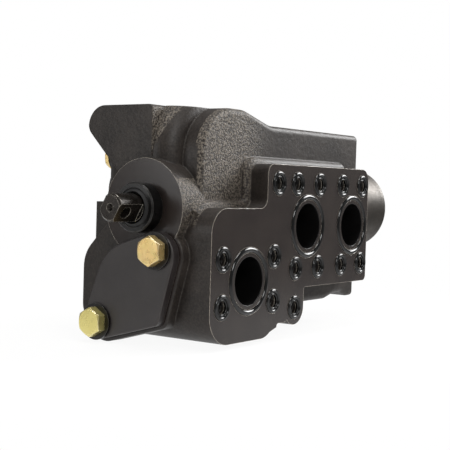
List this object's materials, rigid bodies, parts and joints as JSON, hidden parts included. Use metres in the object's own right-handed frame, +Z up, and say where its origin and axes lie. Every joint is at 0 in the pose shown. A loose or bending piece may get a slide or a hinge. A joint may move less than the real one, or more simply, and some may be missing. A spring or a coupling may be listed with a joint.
{
  "type": "hydraulic control valve",
  "caption": "Cast hydraulic spool valve block with flanged ports on one machined face, a spring-returned spool with a pinned end, and check and relief valves under bolted covers.",
  "frame": {"origin": "centre of port 1 on the machined port face", "axes": "+X along the spool towards the spring cap, -Y out of the port face, +Z up"},
  "size_m": [0.307, 0.1252, 0.1559],
  "materials": {
    "cast_iron": "grey iron casting under a thin dark paint, rough as cast with machined faces",
    "seal_rubber": "moulded nitrile rubber, slightly glossy",
    "painted_steel": "smooth dark grey paint",
    "yellow_zinc_steel": "yellow chromated zinc plate",
    "dark_steel": "turned steel, dark and lightly oiled",
    "ground_steel": "ground and hardened steel",
    "spring_steel": "drawn spring wire",
    "black_oxide_steel": "black oxide",
    "cast_aluminium": "turned light alloy, matt"
  },
  "bodies": {
    "housing": {"body": "cast_iron", "bolt_hole_seals": "seal_rubber", "cap_screws": "black_oxide_steel", "cap_seal": "seal_rubber", "check_spring": "spring_steel", "check_valve_seat": "ground_steel", "cover_plate": "painted_steel", "cover_plate_bolts": "yellow_zinc_steel", "cover_plate_seal": "seal_rubber", "cover_plate_washers": "dark_steel", "front_seal_retainer": "dark_steel", "gallery_plug": "black_oxide_steel", "inner_spring_seat": "ground_steel", "port_1_face_seal": "seal_rubber", "port_2_face_seal": "seal_rubber", "port_3_face_seal": "seal_rubber", "rear_cover": "painted_steel", "rear_cover_bolts": "yellow_zinc_steel", "rear_cover_seal": "seal_rubber", "rear_cover_washers": "dark_steel", "relief_spring": "spring_steel", "return_spring": "spring_steel", "rod_seal": "seal_rubber", "rod_wiper": "seal_rubber", "spring_cap": "cast_aluminium"},
    "spool_assembly": {"spool": "ground_steel", "spool_stop_screw": "black_oxide_steel", "outer_spring_seat": "ground_steel"},
    "check_valve": {"check_poppet": "ground_steel"},
    "relief_valve": {"relief_poppet": "ground_steel"}
  },
  "joints": [
    {"name": "spool_slide", "type": "slide", "parent": "housing", "child": "spool_assembly", "axis": [-1, 0, 0], "range_m": [0, 0.012], "stiffness_N_per_m": 6000, "springref_m": -0.006, "deforming": ["return_spring"]},
    {"name": "check_slide", "type": "slide", "parent": "housing", "child": "check_valve", "axis": [-1, 0, 0], "range_m": [0, 0.007], "stiffness_N_per_m": 3000, "springref_m": -0.004, "deforming": ["check_spring"]},
    {"name": "relief_slide", "type": "slide", "parent": "housing", "child": "relief_valve", "axis": [0, 1, 0], "range_m": [0, 0.004], "stiffness_N_per_m": 20000, "springref_m": -0.003, "deforming": ["relief_spring"]}
  ]
}
